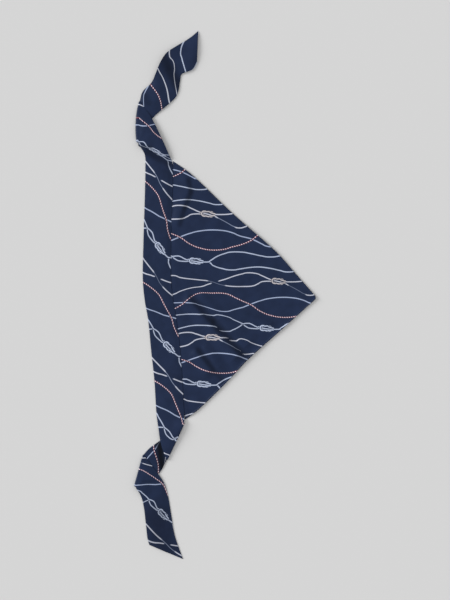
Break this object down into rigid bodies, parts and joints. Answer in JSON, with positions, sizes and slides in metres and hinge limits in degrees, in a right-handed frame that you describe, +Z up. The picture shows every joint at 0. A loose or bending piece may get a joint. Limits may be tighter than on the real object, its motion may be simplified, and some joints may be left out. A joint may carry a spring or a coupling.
{
  "type": "silk neck scarf",
  "caption": "Flat-laid silk neck scarf: a hemmed triangular panel sewn to a long folded tie band whose two slanted ends are each turned over.",
  "frame": {"origin": "middle of the footprint, on the surface that the scarf lies on", "axes": "+Z up, +Y along the band towards its upper tie, +X from the band towards the panel's free corner"},
  "size_m": [0.2906, 0.8427, 0.0073],
  "materials": {
    "panel_silk": "navy silk satin printed with pale, cream and coral ropes",
    "band_silk": "navy silk satin cut on the bias, with the same rope print"
  },
  "bodies": {
    "root": {"triangle_panel": "panel_silk", "tie_band": "band_silk"}
  },
  "joints": []
}
